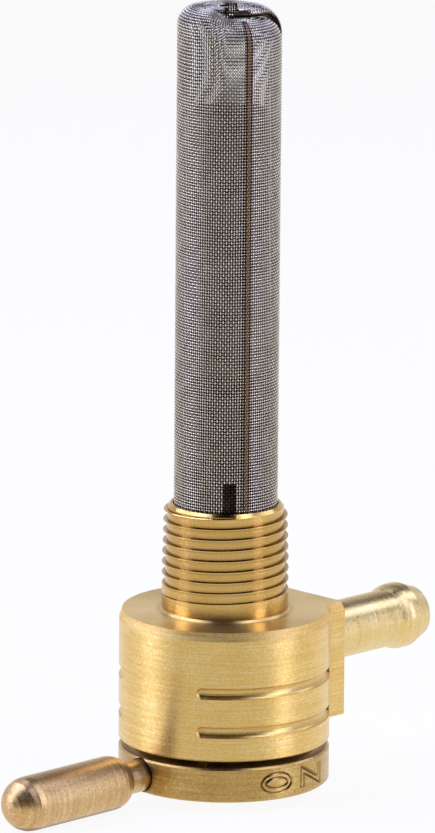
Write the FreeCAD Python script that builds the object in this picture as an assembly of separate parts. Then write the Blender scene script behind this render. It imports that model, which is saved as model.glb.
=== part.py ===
"""Fuel tap of turned brass: a two-level valve turned by a ring with a lever, under a woven strainer.

The frame: +Z runs up the tap's axis into the tank, +X runs out along the hose outlet, and the origin
is on the axis, at the shoulder that the tank thread rises from. All sizes are in millimetres.
"""
import FreeCAD, Part
import math
import os

# Body: turned from 1 1/8 inch bar
body_diameter = 28.6
body_height = 17.8
shoulder_bevel_width = 0.4
shoulder_bevel_height = 1.2
body_edge_bevel = 0.2

# Squared pad that carries the hose outlet
pad_face_x = 14.7
pad_half_width = 8.7
pad_height = 15.75
pad_root_radius = 1.6
pad_corner_radius = 0.4

# Two finger grooves on each side of the body
groove_depths_below_shoulder = (8.4, 13.75)
groove_cutter_radius = 0.9
groove_depth = 0.5
groove_pad_angle = 40.0
groove_end_angle = 147.4
groove_cutter_step = 18

# Tank spigot: 3/8-18 taper pipe thread, drawn at its crests
spigot_height = 14.75
spigot_diameter = 17.15
thread_small_diameter = 16.67
thread_taper = 1.0 / 16.0
spigot_end_bevel = 0.9
spigot_root_bevel = 0.3
screen_socket_depth = 2.1
screen_socket_clearance = 0.1

# Fuel ways in the body
port_circle_radius = 3.8
port_diameter = 2.4
reserve_port_angle = -110.0
outlet_port_diameter = 3.2
cross_bore_diameter = 3.8
stem_shank_diameter = 11.2
stem_shank_length = 10.15

# Hose outlet for a 5/16 inch hose
barb_depth = 6.85
barb_tube_diameter = 7.9
barb_bore_diameter = 5.0
barb_shank_diameter = 7.0
barb_shank_length = 3.8
barb_neck_length = 16.4
bulb_diameter = 9.1
bulb_rise_length = 1.9
bulb_land_length = 1.2
bulb_nose_length = 3.0
bulb_nose_diameter = 7.5
bulb_tip_radius = 0.8
bulb_early_share = 0.45
bulb_late_share = 0.84

# Valve cavity, from its ceiling down
cavity_diameter = 20.2
cavity_depth = 7.4
gasket_thickness = 0.8
gasket_diameter = 13.8
rotor_thickness = 2.0
rotor_diameter = 13.2
rotor_groove_depth = 1.0
disc_spring_height = 0.58
disc_spring_thickness = 0.3
disc_spring_inner_diameter = 6.0
disc_spring_outer_diameter = 9.2
face_clearance = 0.02

# Knob ring with its hub
knob_gap = 0.95
knob_height = 4.7
knob_edge_bevel = 0.25
hub_clearance = 0.06
o_ring_groove_drop = 1.45
o_ring_section = 0.82
o_ring_flats = 6
o_ring_groove_width = 1.2
o_ring_wall_clearance = 0.02
snap_ring_drop = 3.0
snap_ring_thickness = 0.6
snap_ring_width = 1.3
snap_ring_reach = 0.6
snap_ring_clearance = 0.05
snap_ring_gap = 4.0

# Small pins inside
gasket_pin_diameter = 1.2
gasket_pin_circle_radius = 5.6
gasket_pin_length = 1.5
drive_pin_diameter = 1.4
drive_pin_circle_radius = 5.4
drive_pin_depth = 1.2
pin_clearance = 0.03
stop_pin_diameter = 1.6
stop_pin_gasket_distance = 0.4
stop_pin_angle = 135.0
stop_pin_root = 2.0
stop_slot_depth = 1.2
stop_slot_floor_clearance = 0.2
knob_travel = 180.0

# Click stop between the body's rim and the ring
detent_angle = 30.0
detent_rim_distance = 1.95
detent_ball_diameter = 2.4
detent_lift = 0.3
detent_track_depth = 0.3
detent_track_floor_width = 0.6
detent_track_top_width = 1.8
detent_well_depth = 5.2
detent_well_clearance = 0.05
detent_spring_wire = 0.36
detent_spring_turns = 3.5
detent_spring_seat_share = 0.75

# Lever: a round bar parallel to the outlet, set a little off the tap's axis
lever_offset = 1.8
lever_diameter = 7.38
lever_reach = 38.9
lever_shoulder_start = 20.4
lever_shoulder_radius = 3.4
lever_round_steps = 6
lever_neck_diameter = 4.4
lever_stud_diameter = 3.2
lever_stud_length = 9.4
lever_seat_depth = 0.9
lever_seat_clearance = 0.15

# Screen stem, from the spigot's end up
seat_height = 5.4
stem_barrel_diameter = 12.3
stem_barrel_height = 10.9
stem_edge_bevel = 0.35
seal_height = 2.1
seal_diameter = 12.0
seal_groove_diameter = 10.4
seal_lip_share = 0.5
seat_clearance = 0.02
gasket_pin_share = 0.7
collar_height = 1.8
tube_spigot_height = 4.0
main_bore_diameter = 7.2
main_bore_depth = 13.0
reserve_slot_angle = -127.0
reserve_slot_width = 0.95
reserve_slot_top = 4.3
reserve_slot_sink = 0.2
reserve_duct_drop = 0.3

# Pickup tube
tube_diameter = 11.1
tube_wall = 0.5
tube_height = 33.55

# Woven strainer sleeve with a folded top
screen_diameter = 14.1
screen_wall = 0.28
screen_height = 70.15
screen_shoulder_radius = 3.6
seam_angle = -113.0
seam_width = 1.2
seam_lap = 0.16
mesh_rows = 9
mesh_columns = 7
mesh_row_pitch = 6.5
mesh_rib = 1.9
fold_angle = -45.5
fold_step = 0.45
fold_side_offset = -0.2
fold_front_offset = 6.1
fold_slit_width = 0.3
fold_slit_depth = 0.4

# Heights and radii that follow from the sizes above
body_radius = body_diameter / 2
body_bottom = -body_height
knob_top = body_bottom - knob_gap
knob_bottom = knob_top - knob_height
cavity_ceiling = body_bottom + cavity_depth
cavity_radius = cavity_diameter / 2
stop_pin_circle_radius = (gasket_diameter + stop_pin_diameter) / 2 + stop_pin_gasket_distance
detent_circle_radius = body_radius - detent_rim_distance
gasket_bottom = cavity_ceiling - gasket_thickness
rotor_top = gasket_bottom - face_clearance
rotor_bottom = rotor_top - rotor_thickness
hub_top = rotor_bottom - disc_spring_height
hub_radius = cavity_radius - hub_clearance
stem_foot = spigot_height - screen_socket_depth - stem_shank_length
seat_foot = spigot_height - screen_socket_depth
seat_top = spigot_height + seat_height
seal_foot = seat_top + stem_barrel_height
collar_foot = seal_foot + seal_height
tube_foot = collar_foot + collar_height
tube_top = tube_foot + tube_height
screen_radius = screen_diameter / 2
screen_bore_radius = screen_radius - screen_wall
screen_top = seat_foot + screen_height
barb_z = -barb_depth
detent_track_floor = knob_top - detent_track_depth
ball_radius = detent_ball_diameter / 2
ball_z = detent_track_floor + ball_radius
detent_well_top = body_bottom + detent_well_depth
lever_z = knob_bottom + knob_height / 2


def at_angle(radius, degrees, z):
    """A point at a radius and angle about the tap's axis."""
    turn = math.radians(degrees)
    return FreeCAD.Vector(radius * math.cos(turn), radius * math.sin(turn), z)


def post(radius, low, high, x=0.0, y=0.0):
    """An upright cylinder between two heights."""
    return Part.makeCylinder(radius, high - low, FreeCAD.Vector(x, y, low))


def post_at(radius, low, high, circle_radius, degrees):
    """An upright cylinder on a circle about the axis."""
    centre = at_angle(circle_radius, degrees, low)
    return Part.makeCylinder(radius, high - low, centre)


def rod_x(radius, start_x, end_x, y=0.0, z=0.0):
    """A cylinder lying along +X."""
    return Part.makeCylinder(radius, end_x - start_x, FreeCAD.Vector(start_x, y, z), FreeCAD.Vector(1, 0, 0))


def ring(inner_radius, outer_radius, low, high):
    """A flat ring about the axis."""
    return post(outer_radius, low, high).cut(post(inner_radius, low, high))


def turned(points, degrees=360):
    """A solid turned about Z from (radius, z) corners."""
    corners = [FreeCAD.Vector(r, 0, z) for r, z in points]
    face = Part.Face(Part.makePolygon(corners + corners[:1]))
    return face.revolve(FreeCAD.Vector(0, 0, 0), FreeCAD.Vector(0, 0, 1), degrees)


def turned_along(points):
    """A solid turned about X from (x, radius) corners."""
    corners = [FreeCAD.Vector(x, 0, r) for x, r in points]
    face = Part.Face(Part.makePolygon(corners + corners[:1]))
    return face.revolve(FreeCAD.Vector(0, 0, 0), FreeCAD.Vector(1, 0, 0), 360)


def arc(start, middle, end):
    """An arc edge through three points of the XZ plane, given as (x, z)."""
    points = [FreeCAD.Vector(x, 0, z) for x, z in (start, middle, end)]
    return Part.Arc(*points).toShape()


def line(start, end):
    """A straight edge between two (x, z) points."""
    return Part.makeLine(FreeCAD.Vector(start[0], 0, start[1]), FreeCAD.Vector(end[0], 0, end[1]))


def round_point(centre, radius, degrees):
    """A point on a circle of the XZ plane, as (x, z)."""
    turn = math.radians(degrees)
    return (centre[0] + radius * math.cos(turn), centre[1] + radius * math.sin(turn))


def body_outline(inset, z):
    """The body seen from above: bar, pad, root fillets and corners, all drawn in by an inset."""
    bar = body_radius - inset
    half = pad_half_width - inset
    face = pad_face_x - inset
    root = pad_root_radius + inset
    corner = pad_corner_radius
    root_y = pad_half_width + pad_root_radius
    root_x = math.sqrt((body_radius + pad_root_radius) ** 2 - root_y ** 2)
    reach = body_radius + pad_root_radius
    touch = (root_x * bar / reach, root_y * bar / reach)
    blend_turn = 0.5 * (math.atan2(-root_y, -root_x) - math.pi / 2)
    blend = (root_x + root * math.cos(blend_turn), root_y + root * math.sin(blend_turn))
    corner_x = face - corner
    corner_y = half - corner
    diagonal = corner * math.sqrt(0.5)

    def spot(x, y):
        return FreeCAD.Vector(x, y, z)

    edges = []
    edges.append(Part.Arc(spot(touch[0], touch[1]), spot(-bar, 0), spot(touch[0], -touch[1])).toShape())
    edges.append(Part.Arc(spot(touch[0], -touch[1]), spot(blend[0], -blend[1]), spot(root_x, -half)).toShape())
    edges.append(Part.makeLine(spot(root_x, -half), spot(corner_x, -half)))
    edges.append(Part.Arc(spot(corner_x, -half), spot(corner_x + diagonal, -corner_y - diagonal),
                          spot(face, -corner_y)).toShape())
    edges.append(Part.makeLine(spot(face, -corner_y), spot(face, corner_y)))
    edges.append(Part.Arc(spot(face, corner_y), spot(corner_x + diagonal, corner_y + diagonal),
                          spot(corner_x, half)).toShape())
    edges.append(Part.makeLine(spot(corner_x, half), spot(root_x, half)))
    edges.append(Part.Arc(spot(root_x, half), spot(blend[0], blend[1]), spot(touch[0], touch[1])).toShape())
    return Part.Wire(edges)


def body_block():
    """The bar with its pad and the long bevel that runs round the shoulder."""
    bevel_foot = -shoulder_bevel_height
    prism = Part.Face(body_outline(0, -pad_height)).extrude(FreeCAD.Vector(0, 0, pad_height + bevel_foot))
    bevel = Part.makeLoft([body_outline(0, bevel_foot), body_outline(shoulder_bevel_width, 0)], True, True)
    skirt = turned([(0, -pad_height), (0, body_bottom), (body_radius - body_edge_bevel, body_bottom),
                    (body_radius, body_bottom + body_edge_bevel), (body_radius, -pad_height)])
    return prism.fuse([bevel, skirt]).removeSplitter()


def groove_cutter(depth_below_shoulder, side):
    """A round cutter swept about the axis from the pad, with a ball end where the groove stops."""
    cutter_ring = body_radius + groove_cutter_radius - groove_depth
    middle = (cutter_ring, -depth_below_shoulder)
    corners = [round_point(middle, groove_cutter_radius, 90 + step * groove_cutter_step)
               for step in range(int(180 / groove_cutter_step) + 1)]
    start = groove_pad_angle if side > 0 else -groove_end_angle
    sweep = turned(corners, groove_end_angle - groove_pad_angle)
    sweep.rotate(FreeCAD.Vector(0, 0, 0), FreeCAD.Vector(0, 0, 1), start)
    end = at_angle(cutter_ring, side * groove_end_angle, -depth_below_shoulder)
    return [sweep, Part.makeSphere(groove_cutter_radius, end)]


def spigot():
    """The tank spigot at its thread crests: turned bar below, taper above, bevelled end."""
    bar = spigot_diameter / 2
    small = thread_small_diameter / 2
    taper_start = spigot_height - (bar - small) * 2 / thread_taper
    bevel_foot = spigot_height - spigot_end_bevel
    bevel_radius = small + (spigot_height - bevel_foot) * thread_taper / 2
    return turned([(0, -1.0), (bar + spigot_root_bevel, -1.0), (bar + spigot_root_bevel, 0),
                   (bar, spigot_root_bevel), (bar, taper_start), (bevel_radius, bevel_foot),
                   (bevel_radius - spigot_end_bevel, spigot_height), (0, spigot_height)])


def valve_body():
    """Bar, pad, grooves and spigot in one piece, with the cavity, the ports and the wells bored in it."""
    body = body_block()
    for depth in groove_depths_below_shoulder:
        for side in (-1, 1):
            body = body.cut(groove_cutter(depth, side))
    body = body.fuse(spigot()).removeSplitter()
    socket_radius = screen_radius + screen_socket_clearance
    ring_low = hub_top - snap_ring_drop - snap_ring_thickness - snap_ring_clearance
    ring_high = hub_top - snap_ring_drop + snap_ring_clearance
    cuts = [
        post(socket_radius, seat_foot, spigot_height + 1),
        post(stem_shank_diameter / 2, stem_foot, seat_foot + 1),
        post(cavity_radius, body_bottom - 1, cavity_ceiling),
        post(cavity_radius + snap_ring_reach, ring_low, ring_high),
        post(outlet_port_diameter / 2, cavity_ceiling - 1, barb_z),
        rod_x(cross_bore_diameter / 2, 0, pad_face_x, 0, barb_z),
        rod_x(barb_shank_diameter / 2, pad_face_x - barb_shank_length, pad_face_x + 1, 0, barb_z),
        post_at(ball_radius + detent_well_clearance, body_bottom - 1, detent_well_top,
                detent_circle_radius, detent_angle),
        post_at(stop_pin_diameter / 2, cavity_ceiling - 1, cavity_ceiling + stop_pin_root,
                stop_pin_circle_radius, stop_pin_angle),
    ]
    for turn in (0, 180):
        cuts.append(post_at(port_diameter / 2, cavity_ceiling - 1, stem_foot + 1, port_circle_radius,
                            reserve_port_angle + turn))
        cuts.append(post_at(gasket_pin_diameter / 2, cavity_ceiling - 1, gasket_pin_foot() + gasket_pin_length,
                            gasket_pin_circle_radius, reserve_port_angle + 90 + turn))
    return body.cut(cuts)


def gasket_pin_foot():
    """The gasket pins end inside the gasket, clear of the rotor."""
    return cavity_ceiling - gasket_thickness * gasket_pin_share


def outlet_barb():
    """A turned hose nozzle: pressed shank, neck, swelling bulb with a short land, tapering nose."""
    shank = barb_shank_diameter / 2
    neck = barb_tube_diameter / 2
    bulb = bulb_diameter / 2
    nose = bulb_nose_diameter / 2
    bore = barb_bore_diameter / 2
    rise = pad_face_x + barb_neck_length
    land = rise + bulb_rise_length
    taper = land + bulb_land_length
    tip = taper + bulb_nose_length
    tip_centre = (tip - bulb_tip_radius, nose - bulb_tip_radius)
    tip_corners = [round_point(tip_centre, bulb_tip_radius, turn) for turn in (90, 60, 30, 0)]
    inner_end = pad_face_x - barb_shank_length
    nozzle = turned_along([(inner_end, bore), (inner_end, shank), (pad_face_x, shank), (pad_face_x, neck),
                           (rise, neck), (rise + bulb_rise_length / 3, neck + (bulb - neck) * bulb_early_share),
                           (land - bulb_rise_length / 3, neck + (bulb - neck) * bulb_late_share), (land, bulb),
                           (taper, bulb)] + tip_corners + [(tip, bore)])
    nozzle.translate(FreeCAD.Vector(0, 0, barb_z))
    return nozzle


def screen_stem():
    """The turned stem inside the screen: shank, seat, barrel, seal groove, collar and tube spigot."""
    shank = stem_shank_diameter / 2
    seat = screen_bore_radius - seat_clearance
    barrel = stem_barrel_diameter / 2
    groove = seal_groove_diameter / 2
    collar = tube_diameter / 2
    plug = collar - tube_wall
    bevel = stem_edge_bevel
    stem = turned([(0, stem_foot), (shank, stem_foot), (shank, seat_foot), (seat, seat_foot),
                   (seat, seat_top - bevel), (seat - bevel, seat_top), (barrel, seat_top),
                   (barrel, seal_foot - bevel), (barrel - bevel, seal_foot), (groove, seal_foot),
                   (groove, collar_foot), (collar, collar_foot), (collar, tube_foot), (plug, tube_foot),
                   (plug, tube_foot + tube_spigot_height), (0, tube_foot + tube_spigot_height)])
    bore_foot = tube_foot + tube_spigot_height - main_bore_depth
    cuts = [
        post(main_bore_diameter / 2, bore_foot, tube_foot + tube_spigot_height + 1),
        post_at(port_diameter / 2, stem_foot - 1, bore_foot + 1, port_circle_radius, reserve_port_angle + 180),
        post_at(port_diameter / 2, stem_foot - 1, spigot_height + reserve_slot_top - reserve_duct_drop,
                port_circle_radius, reserve_port_angle),
    ]
    slot = Part.makeBox(seat, reserve_slot_width, reserve_slot_top + reserve_slot_sink)
    slot.translate(FreeCAD.Vector(port_circle_radius, -reserve_slot_width / 2,
                                  spigot_height - reserve_slot_sink))
    slot.rotate(FreeCAD.Vector(0, 0, 0), FreeCAD.Vector(0, 0, 1), reserve_slot_angle)
    return stem.cut(cuts + [slot])


def pickup_tube():
    """The plain tube whose open top sets the main level."""
    outer = tube_diameter / 2
    return ring(outer - tube_wall, outer, tube_foot, tube_top)


def tube_seal_ring():
    """The rubber ring in the stem's groove, with a rounded rim."""
    inner = seal_groove_diameter / 2
    outer = seal_diameter / 2
    rim = outer - inner
    lip = rim * seal_lip_share
    return turned([(inner, seal_foot), (inner, collar_foot),
                   (outer - lip, collar_foot), (outer, collar_foot - lip),
                   (outer, seal_foot + lip), (outer - lip, seal_foot)])


def sleeve_form(radius, top, shoulder, foot):
    """A closed thimble: straight side, round shoulder, flat crown."""
    centre = (radius - shoulder, top - shoulder)
    edges = [
        line((0, foot), (radius, foot)),
        line((radius, foot), (radius, centre[1])),
        arc((radius, centre[1]), round_point(centre, shoulder, 45), (centre[0], top)),
        line((centre[0], top), (0, top)),
        line((0, top), (0, foot)),
    ]
    return Part.Face(Part.Wire(edges)).revolve(FreeCAD.Vector(0, 0, 0), FreeCAD.Vector(0, 0, 1), 360)


def fold_box(side_low, side_high, front_far, front_near, low, high):
    """A box in the fold's own directions: side is along the fold's front edge, front is away from the axis."""
    box = Part.makeBox(side_high - side_low, front_near - front_far, high - low)
    box.translate(FreeCAD.Vector(side_low, -front_near, low))
    box.rotate(FreeCAD.Vector(0, 0, 0), FreeCAD.Vector(0, 0, 1), fold_angle)
    return box


def mesh_windows():
    """The openings of the weave, as rows of windows between ribs."""
    window_height = mesh_row_pitch - mesh_rib
    window_width = 2 * math.pi * screen_radius / mesh_columns - mesh_rib
    column_turn = 360.0 / mesh_columns
    windows = []
    for row in range(mesh_rows):
        foot = seat_top + mesh_rib + row * mesh_row_pitch
        for column in range(mesh_columns):
            window = Part.makeBox(2 * screen_wall, window_width, window_height)
            window.translate(FreeCAD.Vector(screen_bore_radius - screen_wall / 2, -window_width / 2, foot))
            window.rotate(FreeCAD.Vector(0, 0, 0), FreeCAD.Vector(0, 0, 1),
                          seam_angle + (column + 0.5) * column_turn)
            windows.append(window)
    return windows


def filter_screen():
    """The woven sleeve as one wall: ribs between windows, a lapped seam, and a crown folded shut."""
    shoulder = screen_shoulder_radius
    crown = screen_top - fold_step
    under = sleeve_form(screen_radius, crown, shoulder, seat_foot)
    over = sleeve_form(screen_radius, screen_top, shoulder, seat_foot)
    reach = 2 * screen_radius
    notch = fold_box(fold_side_offset, reach, fold_front_offset, reach, seat_top, screen_top + 1)
    slit = fold_box(fold_side_offset - fold_slit_width, fold_side_offset, 0, fold_front_offset,
                    screen_top - fold_slit_depth, screen_top + 1)
    outer = under.fuse(over.cut(notch)).cut(slit)
    inner = sleeve_form(screen_bore_radius, crown - screen_wall, shoulder - screen_wall, seat_foot)
    lap_top = crown - shoulder
    lap_foot = spigot_height + 2 * screen_wall
    lap = Part.makeBox(screen_wall + seam_lap, seam_width, lap_top - lap_foot)
    lap.translate(FreeCAD.Vector(screen_bore_radius, -seam_width / 2, lap_foot))
    lap.rotate(FreeCAD.Vector(0, 0, 0), FreeCAD.Vector(0, 0, 1), seam_angle)
    bore = post(screen_bore_radius, seat_foot, lap_top)
    return outer.cut([inner] + mesh_windows()).fuse(lap.cut(bore)).removeSplitter()


def port_gasket():
    """The soft disc under the ceiling, with a hole for each port and for its pins."""
    gasket = post(gasket_diameter / 2, gasket_bottom, cavity_ceiling)
    cuts = [post(outlet_port_diameter / 2, gasket_bottom - 1, cavity_ceiling + 1)]
    for turn in (0, 180):
        cuts.append(post_at(port_diameter / 2, gasket_bottom - 1, cavity_ceiling + 1, port_circle_radius,
                            reserve_port_angle + turn))
        cuts.append(post_at(gasket_pin_diameter / 2, gasket_bottom - 1, cavity_ceiling + 1,
                            gasket_pin_circle_radius, reserve_port_angle + 90 + turn))
    return gasket.cut(cuts)


def gasket_pin(turn):
    """A pin that keeps the gasket's holes under the ports."""
    foot = gasket_pin_foot()
    return post_at(gasket_pin_diameter / 2, foot, foot + gasket_pin_length, gasket_pin_circle_radius,
                   reserve_port_angle + 90 + turn)


def stop_pin():
    """The pin that ends the knob's turn, standing in the hub's curved slot."""
    foot = hub_top - stop_slot_depth + stop_slot_floor_clearance
    return post_at(stop_pin_diameter / 2, foot, cavity_ceiling + stop_pin_root,
                   stop_pin_circle_radius, stop_pin_angle)


def valve_rotor():
    """The disc whose groove joins the middle port to one of the outer two."""
    rotor = post(rotor_diameter / 2, rotor_bottom, rotor_top)
    floor = rotor_top - rotor_groove_depth
    main_angle = reserve_port_angle + 180
    channel = Part.makeBox(port_circle_radius, port_diameter, rotor_groove_depth + 1)
    channel.translate(FreeCAD.Vector(0, -port_diameter / 2, floor))
    channel.rotate(FreeCAD.Vector(0, 0, 0), FreeCAD.Vector(0, 0, 1), main_angle)
    cuts = [
        channel,
        post(outlet_port_diameter / 2, floor, rotor_top + 1),
        post_at(port_diameter / 2, floor, rotor_top + 1, port_circle_radius, main_angle),
    ]
    for turn in (90, 270):
        cuts.append(post_at(drive_pin_diameter / 2 + pin_clearance, rotor_bottom - 1,
                            rotor_bottom + drive_pin_depth, drive_pin_circle_radius, main_angle + turn))
    return rotor.cut(cuts)


def drive_pin(turn):
    """A pin pressed in the hub that turns the rotor."""
    foot = hub_top - drive_pin_depth
    head = rotor_bottom + drive_pin_depth - face_clearance
    return post_at(drive_pin_diameter / 2, foot, head, drive_pin_circle_radius, reserve_port_angle + 180 + turn)


def disc_spring():
    """The coned washer that pushes the rotor up against the gasket."""
    inner = disc_spring_inner_diameter / 2
    outer = disc_spring_outer_diameter / 2
    return turned([(inner, rotor_bottom - disc_spring_thickness), (outer, hub_top),
                   (outer, hub_top + disc_spring_thickness), (inner, rotor_bottom)])


def stop_slot():
    """The curved slot in the hub's top that the stop pin stands in."""
    pin_radius = stop_pin_diameter / 2 + pin_clearance
    floor = hub_top - stop_slot_depth
    inner = stop_pin_circle_radius - pin_radius
    outer = stop_pin_circle_radius + pin_radius
    band = ring(inner, outer, floor, hub_top + 1)
    half = Part.makeBox(2 * outer, outer, stop_slot_depth + 1)
    half.translate(FreeCAD.Vector(-outer, 0, floor))
    half.rotate(FreeCAD.Vector(0, 0, 0), FreeCAD.Vector(0, 0, 1), stop_pin_angle)
    ends = []
    for turn in (0, knob_travel):
        ends.append(post_at(pin_radius, floor, hub_top + 1, stop_pin_circle_radius, stop_pin_angle + turn))
    return band.common(half).fuse(ends)


def knob_ring():
    """The turned ring that is gripped, with the hub that stands in the body's cavity."""
    hub = hub_radius
    groove_top = hub_top - o_ring_groove_drop
    groove_floor = cavity_radius - o_ring_wall_clearance - o_ring_section
    snap_top = hub_top - snap_ring_drop + snap_ring_clearance
    snap_bottom = hub_top - snap_ring_drop - snap_ring_thickness - snap_ring_clearance
    snap_floor = cavity_radius + snap_ring_reach - snap_ring_width - 2 * snap_ring_clearance
    bevel = knob_edge_bevel
    knob = turned([(0, knob_bottom), (body_radius - bevel, knob_bottom), (body_radius, knob_bottom + bevel),
                   (body_radius, knob_top - bevel), (body_radius - bevel, knob_top), (hub, knob_top),
                   (hub, snap_bottom), (snap_floor, snap_bottom), (snap_floor, snap_top), (hub, snap_top),
                   (hub, groove_top - o_ring_groove_width), (groove_floor, groove_top - o_ring_groove_width),
                   (groove_floor, groove_top), (hub, groove_top), (hub, hub_top), (0, hub_top)])
    well = ball_radius + detent_well_clearance
    dimple_z = detent_track_floor + well - detent_lift
    seat_x = lever_seat_x()
    cuts = [
        stop_slot(),
        detent_track(),
        rod_x(lever_stud_diameter / 2, seat_x, seat_x + lever_stud_length, lever_offset, lever_z),
        rod_x(lever_neck_diameter / 2 + lever_seat_clearance, -body_radius - 1, seat_x, lever_offset, lever_z),
    ]
    for turn in (90, 270):
        cuts.append(post_at(drive_pin_diameter / 2, hub_top - drive_pin_depth, hub_top + 1,
                            drive_pin_circle_radius, reserve_port_angle + 180 + turn))
    for click in range(3):
        angle = detent_angle + click * knob_travel / 2
        cuts.append(Part.makeSphere(well, at_angle(detent_circle_radius, angle, dimple_z)))
    return knob.cut(cuts)


def detent_track():
    """The shallow track in the ring's top face that the click ball runs in."""
    floor = detent_track_floor_width / 2
    slope = (detent_track_top_width - detent_track_floor_width) / 2 / detent_track_depth
    over = knob_gap / 2
    mouth = floor + slope * (detent_track_depth + over)
    circle = detent_circle_radius
    return turned([(circle - floor, detent_track_floor), (circle + floor, detent_track_floor),
                   (circle + mouth, knob_top + over), (circle - mouth, knob_top + over)])


def lever_seat_x():
    """Where the lever's neck ends, in its spot-faced seat in the ring."""
    return -math.sqrt(body_radius ** 2 - lever_offset ** 2) + lever_seat_depth


def lever_handle():
    """A round bar with a domed tip, a rounded shoulder, a neck and a stud that enters the ring."""
    stud = lever_stud_diameter / 2
    neck = lever_neck_diameter / 2
    bar = lever_diameter / 2
    seat = -lever_seat_x()
    stud_end = seat - lever_stud_length
    shoulder = (lever_shoulder_start, bar - lever_shoulder_radius)
    neck_turn = 180 - math.degrees(math.asin((neck - shoulder[1]) / lever_shoulder_radius))
    shoulder_step = (neck_turn - 90) / lever_round_steps
    shoulder_corners = [round_point(shoulder, lever_shoulder_radius, 90 + shoulder_step * step)
                        for step in range(lever_round_steps, -1, -1)]
    dome = (lever_reach - bar, 0)
    dome_corners = [round_point(dome, bar, 90 * step / lever_round_steps)
                    for step in range(lever_round_steps, -1, -1)]
    lever = turned_along([(stud_end, 0), (stud_end, stud), (seat, stud), (seat, neck)] + shoulder_corners
                         + dome_corners)
    lever.rotate(FreeCAD.Vector(0, 0, 0), FreeCAD.Vector(0, 0, 1), 180)
    lever.translate(FreeCAD.Vector(0, lever_offset, lever_z))
    return lever


def hub_o_ring():
    """The seal round the hub, pressed flat where it touches."""
    section = o_ring_section / 2
    groove_middle = hub_top - o_ring_groove_drop - o_ring_groove_width / 2
    centre = (cavity_radius - o_ring_wall_clearance - section, groove_middle)
    flat_turn = 360 / o_ring_flats
    corner_radius = section / math.cos(math.radians(flat_turn / 2))
    corners = [round_point(centre, corner_radius, (step + 0.5) * flat_turn) for step in range(o_ring_flats)]
    return turned(corners)


def snap_ring():
    """The sprung open ring that holds the hub up in the body."""
    outer = cavity_radius + snap_ring_reach - snap_ring_clearance
    high = hub_top - snap_ring_drop
    low = high - snap_ring_thickness
    opening = Part.makeBox(2 * outer, snap_ring_gap, 2 * snap_ring_thickness)
    opening.translate(FreeCAD.Vector(0, -snap_ring_gap / 2, low - snap_ring_thickness / 2))
    return ring(outer - snap_ring_width, outer, low, high).cut(opening)


def detent_ball():
    """The steel ball of the click stop, on the ring's track."""
    return Part.makeSphere(ball_radius, at_angle(detent_circle_radius, detent_angle, ball_z))


def detent_spring():
    """The coil spring of square wire above the ball, in the body's well."""
    wire = detent_spring_wire / 2
    coil = ball_radius - wire - detent_well_clearance
    foot = ball_z + ball_radius * detent_spring_seat_share + wire
    height = detent_well_top - wire - foot
    path = Part.makeHelix(height / detent_spring_turns, height, coil)
    square = ((-wire, -wire), (wire, -wire), (wire, wire), (-wire, wire))
    corners = [FreeCAD.Vector(coil + x, 0, z) for x, z in square]
    section = Part.makePolygon(corners + corners[:1])
    spring = Part.Wire(path).makePipeShell([section], True, True)
    spring.translate(at_angle(detent_circle_radius, detent_angle, foot))
    return spring


def main():
    parts = {
        "valve_body": valve_body(),
        "outlet_barb": outlet_barb(),
        "screen_stem": screen_stem(),
        "pickup_tube": pickup_tube(),
        "tube_seal_ring": tube_seal_ring(),
        "filter_screen": filter_screen(),
        "port_gasket": port_gasket(),
        "gasket_pin_left": gasket_pin(180),
        "gasket_pin_right": gasket_pin(0),
        "stop_pin": stop_pin(),
        "snap_ring": snap_ring(),
        "knob_ring": knob_ring(),
        "lever_handle": lever_handle(),
        "hub_o_ring": hub_o_ring(),
        "valve_rotor": valve_rotor(),
        "drive_pin_left": drive_pin(90),
        "drive_pin_right": drive_pin(270),
        "disc_spring": disc_spring(),
        "detent_ball": detent_ball(),
        "detent_spring": detent_spring(),
    }
    os.makedirs("parts", exist_ok=True)
    for node, shape in parts.items():
        shape.exportStep("parts/" + node + ".step")
        box = shape.BoundBox
        print(node, "solids", len(shape.Solids), "valid", shape.isValid(), "mm3", round(shape.Volume, 2),
              "z", round(box.ZMin, 2), round(box.ZMax, 2))


main()
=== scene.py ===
"""The look of the fuel tap: turned brass, a cut taper thread, engraved positions and a woven strainer.

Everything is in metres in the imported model's own frame. +Z runs up the tap's axis into the tank, +X
runs out along the hose outlet, and the origin is at the shoulder that the thread rises from.
"""
import bmesh
import bpy
import math
from mathutils import Matrix, Vector


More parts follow.
